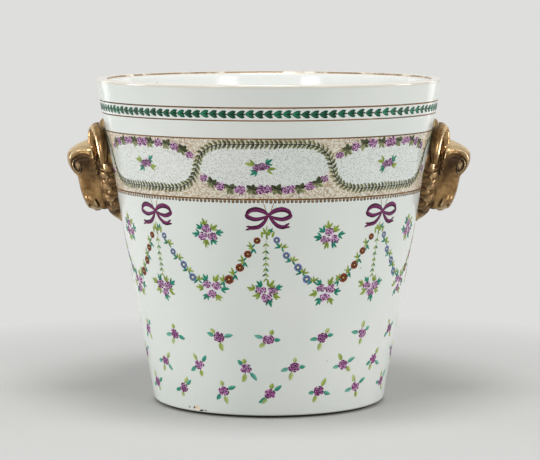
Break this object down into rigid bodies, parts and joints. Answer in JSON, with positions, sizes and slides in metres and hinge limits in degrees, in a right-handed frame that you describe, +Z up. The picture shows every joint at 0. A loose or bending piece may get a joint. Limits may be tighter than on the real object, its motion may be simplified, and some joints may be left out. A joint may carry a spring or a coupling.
{
  "type": "cachepot",
  "caption": "Conical glazed porcelain cachepot with a thick rounded lip, a recessed foot ring and gilt ram's-head mask handles, for holding a planted pot.",
  "frame": {"origin": "middle of the foot on the table, on the pot's axis", "axes": "+Z up along the pot's axis, X through the two masks, front of the pot towards -Y"},
  "size_m": [0.412, 0.3496, 0.33],
  "materials": {
    "porcelain": "clear gloss glaze over a greyish white body, painted in enamels",
    "gilt": "burnished gilding over glaze, worn darker in the hollows"
  },
  "bodies": {
    "root": {"pot_body": "porcelain", "left_ram_mask": "gilt", "left_front_horn": "gilt", "left_back_horn": "gilt", "left_front_ear": "gilt", "left_back_ear": "gilt", "right_ram_mask": "gilt", "right_front_horn": "gilt", "right_back_horn": "gilt", "right_front_ear": "gilt", "right_back_ear": "gilt"}
  },
  "joints": []
}
